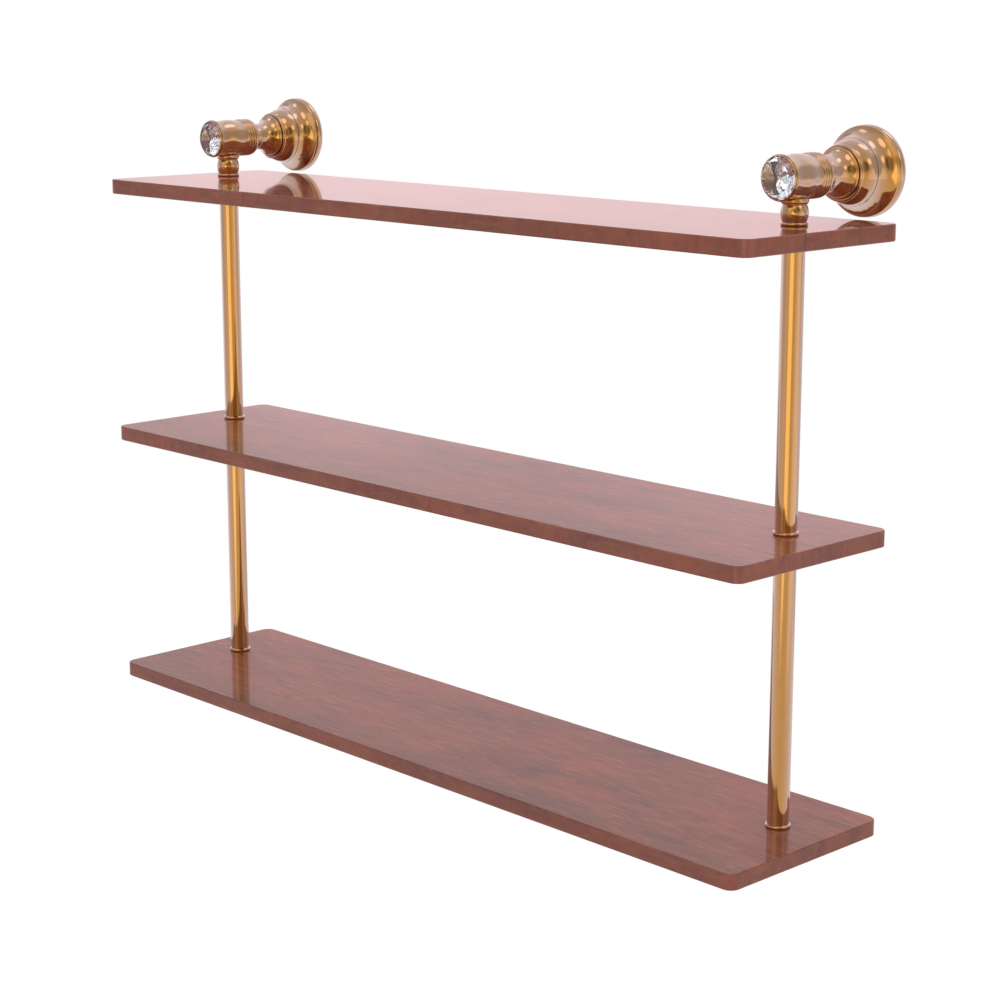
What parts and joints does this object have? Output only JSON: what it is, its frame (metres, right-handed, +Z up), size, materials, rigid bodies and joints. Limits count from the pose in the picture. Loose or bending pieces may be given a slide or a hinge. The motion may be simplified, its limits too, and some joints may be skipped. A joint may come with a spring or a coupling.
{
  "type": "wall shelf with brackets",
  "caption": "Tiered wooden wall shelf hung on round metal rods from two turned metal brackets with round wall flanges and cut crystal ends.",
  "frame": {"origin": "on the wall, midway between the two brackets and level with their axes", "axes": "+X along the wall to the right as seen from the room, +Y into the wall, +Z up; the whole shelf lies on the -Y side"},
  "size_m": [0.5588, 0.1397, 0.4002],
  "materials": {
    "varnished_wood": "glossy varnished reddish brown hardwood",
    "polished_brass": "polished and lacquered",
    "crystal": "cut and polished",
    "fixing_steel": "zinc plated"
  },
  "bodies": {
    "root": {"top_board": "varnished_wood", "middle_board": "varnished_wood", "bottom_board": "varnished_wood", "left_wall_plate": "fixing_steel", "left_flange": "polished_brass", "left_grub_screw": "fixing_steel", "left_flange_ring": "polished_brass", "left_stem": "polished_brass", "left_tie_bolt": "fixing_steel", "left_arm": "polished_brass", "left_crystal_cup": "polished_brass", "left_crystal": "crystal", "left_drop_post": "polished_brass", "left_post_stud": "fixing_steel", "left_upper_rod": "polished_brass", "left_middle_collar": "polished_brass", "left_joint_stud": "fixing_steel", "left_lower_rod": "polished_brass", "left_bottom_collar": "polished_brass", "left_base_washer": "polished_brass", "left_base_screw": "polished_brass", "right_wall_plate": "fixing_steel", "right_flange": "polished_brass", "right_grub_screw": "fixing_steel", "right_flange_ring": "polished_brass", "right_stem": "polished_brass", "right_tie_bolt": "fixing_steel", "right_arm": "polished_brass", "right_crystal_cup": "polished_brass", "right_crystal": "crystal", "right_drop_post": "polished_brass", "right_post_stud": "fixing_steel", "right_upper_rod": "polished_brass", "right_middle_collar": "polished_brass", "right_joint_stud": "fixing_steel", "right_lower_rod": "polished_brass", "right_bottom_collar": "polished_brass", "right_base_washer": "polished_brass", "right_base_screw": "polished_brass"}
  },
  "joints": []
}
